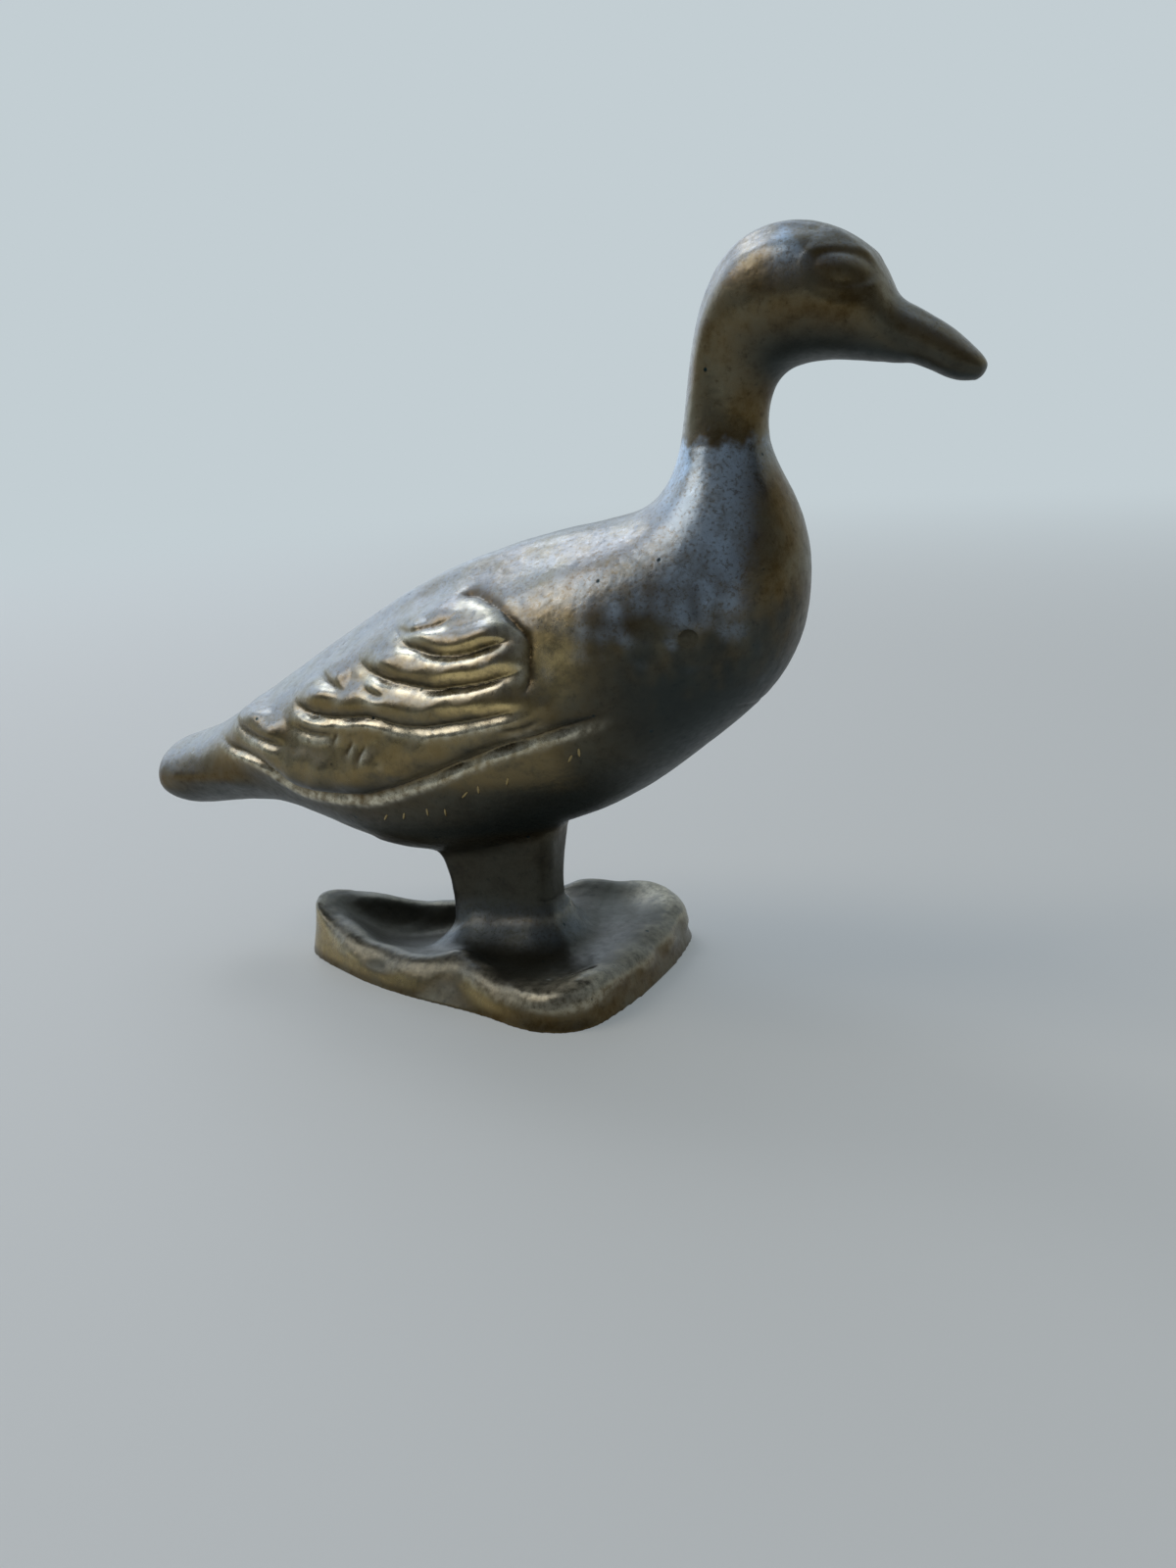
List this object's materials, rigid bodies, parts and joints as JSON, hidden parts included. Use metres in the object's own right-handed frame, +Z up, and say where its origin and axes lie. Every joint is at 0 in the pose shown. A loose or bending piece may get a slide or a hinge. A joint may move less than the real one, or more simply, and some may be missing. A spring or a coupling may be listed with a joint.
{
  "type": "standing duck figurine",
  "caption": "Hollow cast brass duck standing on a leg post and dished webbed-foot base, with folded layered wings, raised head and a paddle tail.",
  "frame": {"origin": "on the underside of the foot base, below the middle of the leg", "axes": "+X forward towards the bill, +Y to the duck's left, +Z up"},
  "size_m": [0.1449, 0.0512, 0.1149],
  "materials": {
    "patinated_brass": "aged brown patina, worn to gold on edges",
    "pin_brass": "plain drawn brass"
  },
  "bodies": {
    "root": {"right_body_shell": "patinated_brass", "left_body_shell": "patinated_brass", "head_and_neck": "patinated_brass", "foot_base": "patinated_brass", "core_plugs": "patinated_brass", "neck_dowel": "pin_brass", "leg_dowel": "pin_brass", "seam_dowels": "pin_brass"}
  },
  "joints": []
}
